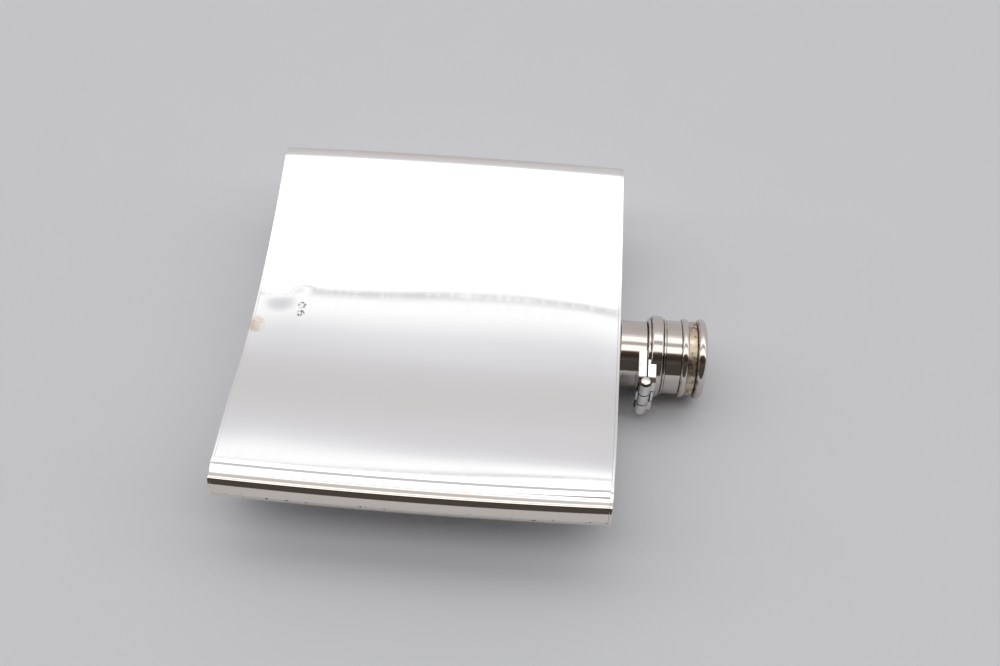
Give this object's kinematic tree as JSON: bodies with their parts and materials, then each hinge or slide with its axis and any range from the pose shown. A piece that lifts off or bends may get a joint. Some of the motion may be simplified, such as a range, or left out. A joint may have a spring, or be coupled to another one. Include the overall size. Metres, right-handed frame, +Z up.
{
  "type": "hip flask",
  "caption": "Curved pocket flask lying on its convex back, with soldered panels and end plates, a short neck and a hinged bayonet cap that turns and swings open.",
  "frame": {"origin": "under the middle of the flask's box, on the surface that it lies on", "axes": "+X from the base to the cap, along the neck; +Y across the flask, away from the hinge; +Z up, out of the hollow face"},
  "size_m": [0.1196, 0.1102, 0.0272],
  "materials": {
    "polished_silver": "polished",
    "cap_silver": "polished",
    "hinge_silver": "satin",
    "inner_silver": "satin",
    "cork": "matte"
  },
  "bodies": {
    "flask_body": {"front_panel": "polished_silver", "back_panel": "polished_silver", "base_plate": "polished_silver", "shoulder_plate": "polished_silver", "neck_tube": "inner_silver", "stop_collar": "inner_silver", "upper_lug": "inner_silver", "lower_lug": "inner_silver"},
    "sleeve": {"turning_sleeve": "cap_silver", "sleeve_retainer": "inner_silver", "sleeve_hinge_leaf": "hinge_silver", "hinge_pin": "hinge_silver"},
    "cap": {"cap_hinge_leaf": "hinge_silver", "cap_barrel": "cap_silver", "cap_lip_ring": "cap_silver", "cap_band": "cap_silver", "cap_fillet_ring": "cap_silver", "cap_bead": "cap_silver", "cap_top": "cap_silver", "bayonet_liner": "inner_silver", "cork_seal": "cork"}
  },
  "joints": [
    {"name": "bayonet_turn", "type": "hinge", "parent": "flask_body", "child": "sleeve", "pos_m": [0.0431, 0, 0.0111], "axis": [-1, 0, 0], "range_deg": [0, 45]},
    {"name": "cap_swing", "type": "hinge", "parent": "sleeve", "child": "cap", "pos_m": [0.0431, -0.0126, 0.0111], "axis": [0, 0, -1], "range_deg": [0, 115]}
  ]
}
